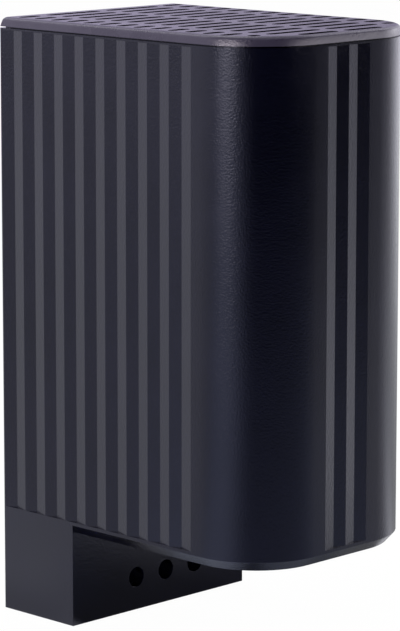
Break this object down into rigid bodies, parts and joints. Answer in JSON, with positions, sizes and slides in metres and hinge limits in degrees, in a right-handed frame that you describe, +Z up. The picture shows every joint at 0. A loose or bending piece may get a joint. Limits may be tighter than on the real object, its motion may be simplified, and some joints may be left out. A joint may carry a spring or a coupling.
{
  "type": "enclosure heater",
  "caption": "Small touch-safe convection heater: slotted chimney housing over a finned heat sink, screw terminals at the rear foot and a spring clip for a mounting rail.",
  "frame": {"origin": "centre of the 35 mm rail's width, in the plane where the rail's front face seats on the clip", "axes": "+X to the heater's right seen from its front, +Y out of the rear face towards the rail, +Z up"},
  "size_m": [0.0398, 0.0695, 0.098],
  "materials": {
    "black_moulding": "fine spark-eroded satin",
    "carrier_moulding": "matt moulded",
    "terminal_moulding": "matt moulded",
    "extruded_aluminium": "mill finish",
    "spring_steel": "zinc-plated, satin",
    "plated_steel": "zinc-plated",
    "brass_strip": "rolled",
    "plated_cage": "nickel-plated",
    "ceramic": "fired, unglazed",
    "film": "amber film",
    "lead_insulation": "silicone",
    "earth_insulation": "silicone"
  },
  "bodies": {
    "root": {"housing": "black_moulding", "top_grille": "black_moulding", "bottom_grille": "black_moulding", "heat_sink": "extruded_aluminium", "ptc_pill_1": "ceramic", "ptc_pill_2": "ceramic", "electrode_left": "brass_strip", "electrode_right": "brass_strip", "insulating_sleeve": "film", "lower_carrier": "carrier_moulding", "upper_carrier": "carrier_moulding", "earth_tag": "brass_strip", "earth_screw": "plated_steel", "terminal_block": "terminal_moulding", "clamp_cage_1": "plated_cage", "clamp_cage_2": "plated_cage", "clamp_cage_3": "plated_cage", "terminal_screw_1": "plated_steel", "terminal_screw_2": "plated_steel", "terminal_screw_3": "plated_steel", "lead_live": "lead_insulation", "lead_neutral": "lead_insulation", "lead_earth": "earth_insulation", "rail_clip": "spring_steel", "clip_screw_lower": "plated_steel", "clip_screw_upper": "plated_steel"}
  },
  "joints": []
}
